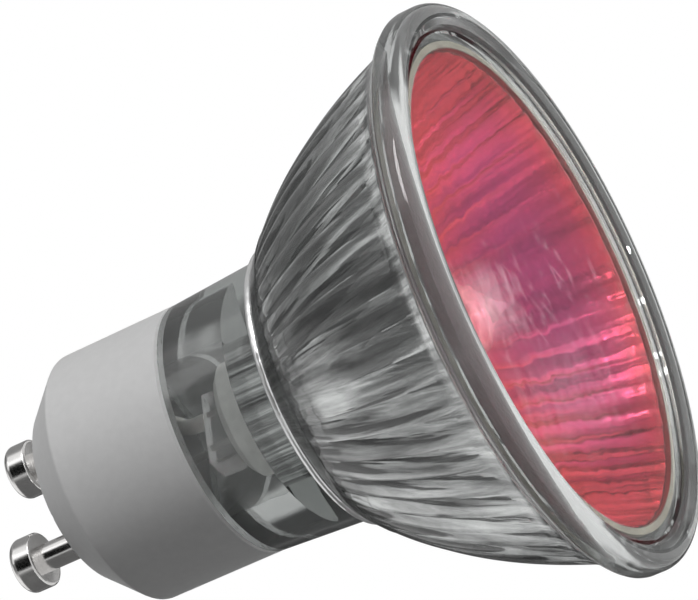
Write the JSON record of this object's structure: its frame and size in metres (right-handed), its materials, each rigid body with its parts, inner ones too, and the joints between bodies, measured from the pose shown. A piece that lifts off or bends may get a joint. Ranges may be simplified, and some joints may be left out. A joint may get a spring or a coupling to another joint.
{
  "type": "halogen reflector bulb",
  "caption": "Halogen reflector bulb with a fluted glass bowl, red-coated front glass, quartz capsule and a bevelled ceramic cap with twist-lock pins.",
  "frame": {"origin": "centre of the narrow flat ring at the front of the rim, on which the lamp stands", "axes": "+Z along the lamp's axis from the front rim to the cap and pins; the two pins stand along X"},
  "size_m": [0.051, 0.051, 0.0544],
  "materials": {
    "reflector_glass": "pressed glass with a grey metallic coating on its inner face",
    "front_glass": "clear glass with a red coating on its back, bare at the edge",
    "adhesive": "satin silicone bead",
    "quartz": "clear quartz",
    "tungsten": "drawn tungsten wire",
    "lead_wire": "drawn molybdenum wire",
    "foil": "thin molybdenum foil",
    "glass_fibre": "braided glass-fibre sleeve",
    "fuse_wire": "bright drawn wire",
    "fuse_glass": "clear glass tube",
    "cement": "rough pale cement",
    "ceramic": "smooth unglazed steatite",
    "plated_pin": "bright nickel plating"
  },
  "bodies": {
    "root": {"reflector": "reflector_glass", "front_glass": "front_glass", "front_adhesive": "adhesive", "capsule_envelope": "quartz", "filament": "tungsten", "inner_lead_left": "lead_wire", "inner_lead_right": "lead_wire", "foil_left": "foil", "foil_right": "foil", "outer_lead_left": "lead_wire", "outer_lead_right": "lead_wire", "lead_sleeve": "glass_fibre", "fuse_wire": "fuse_wire", "fuse_sleeve": "fuse_glass", "capsule_cement": "cement", "cap_cement": "cement", "ceramic_cap": "ceramic", "contact_pin_left": "plated_pin", "contact_pin_right": "plated_pin"}
  },
  "joints": []
}
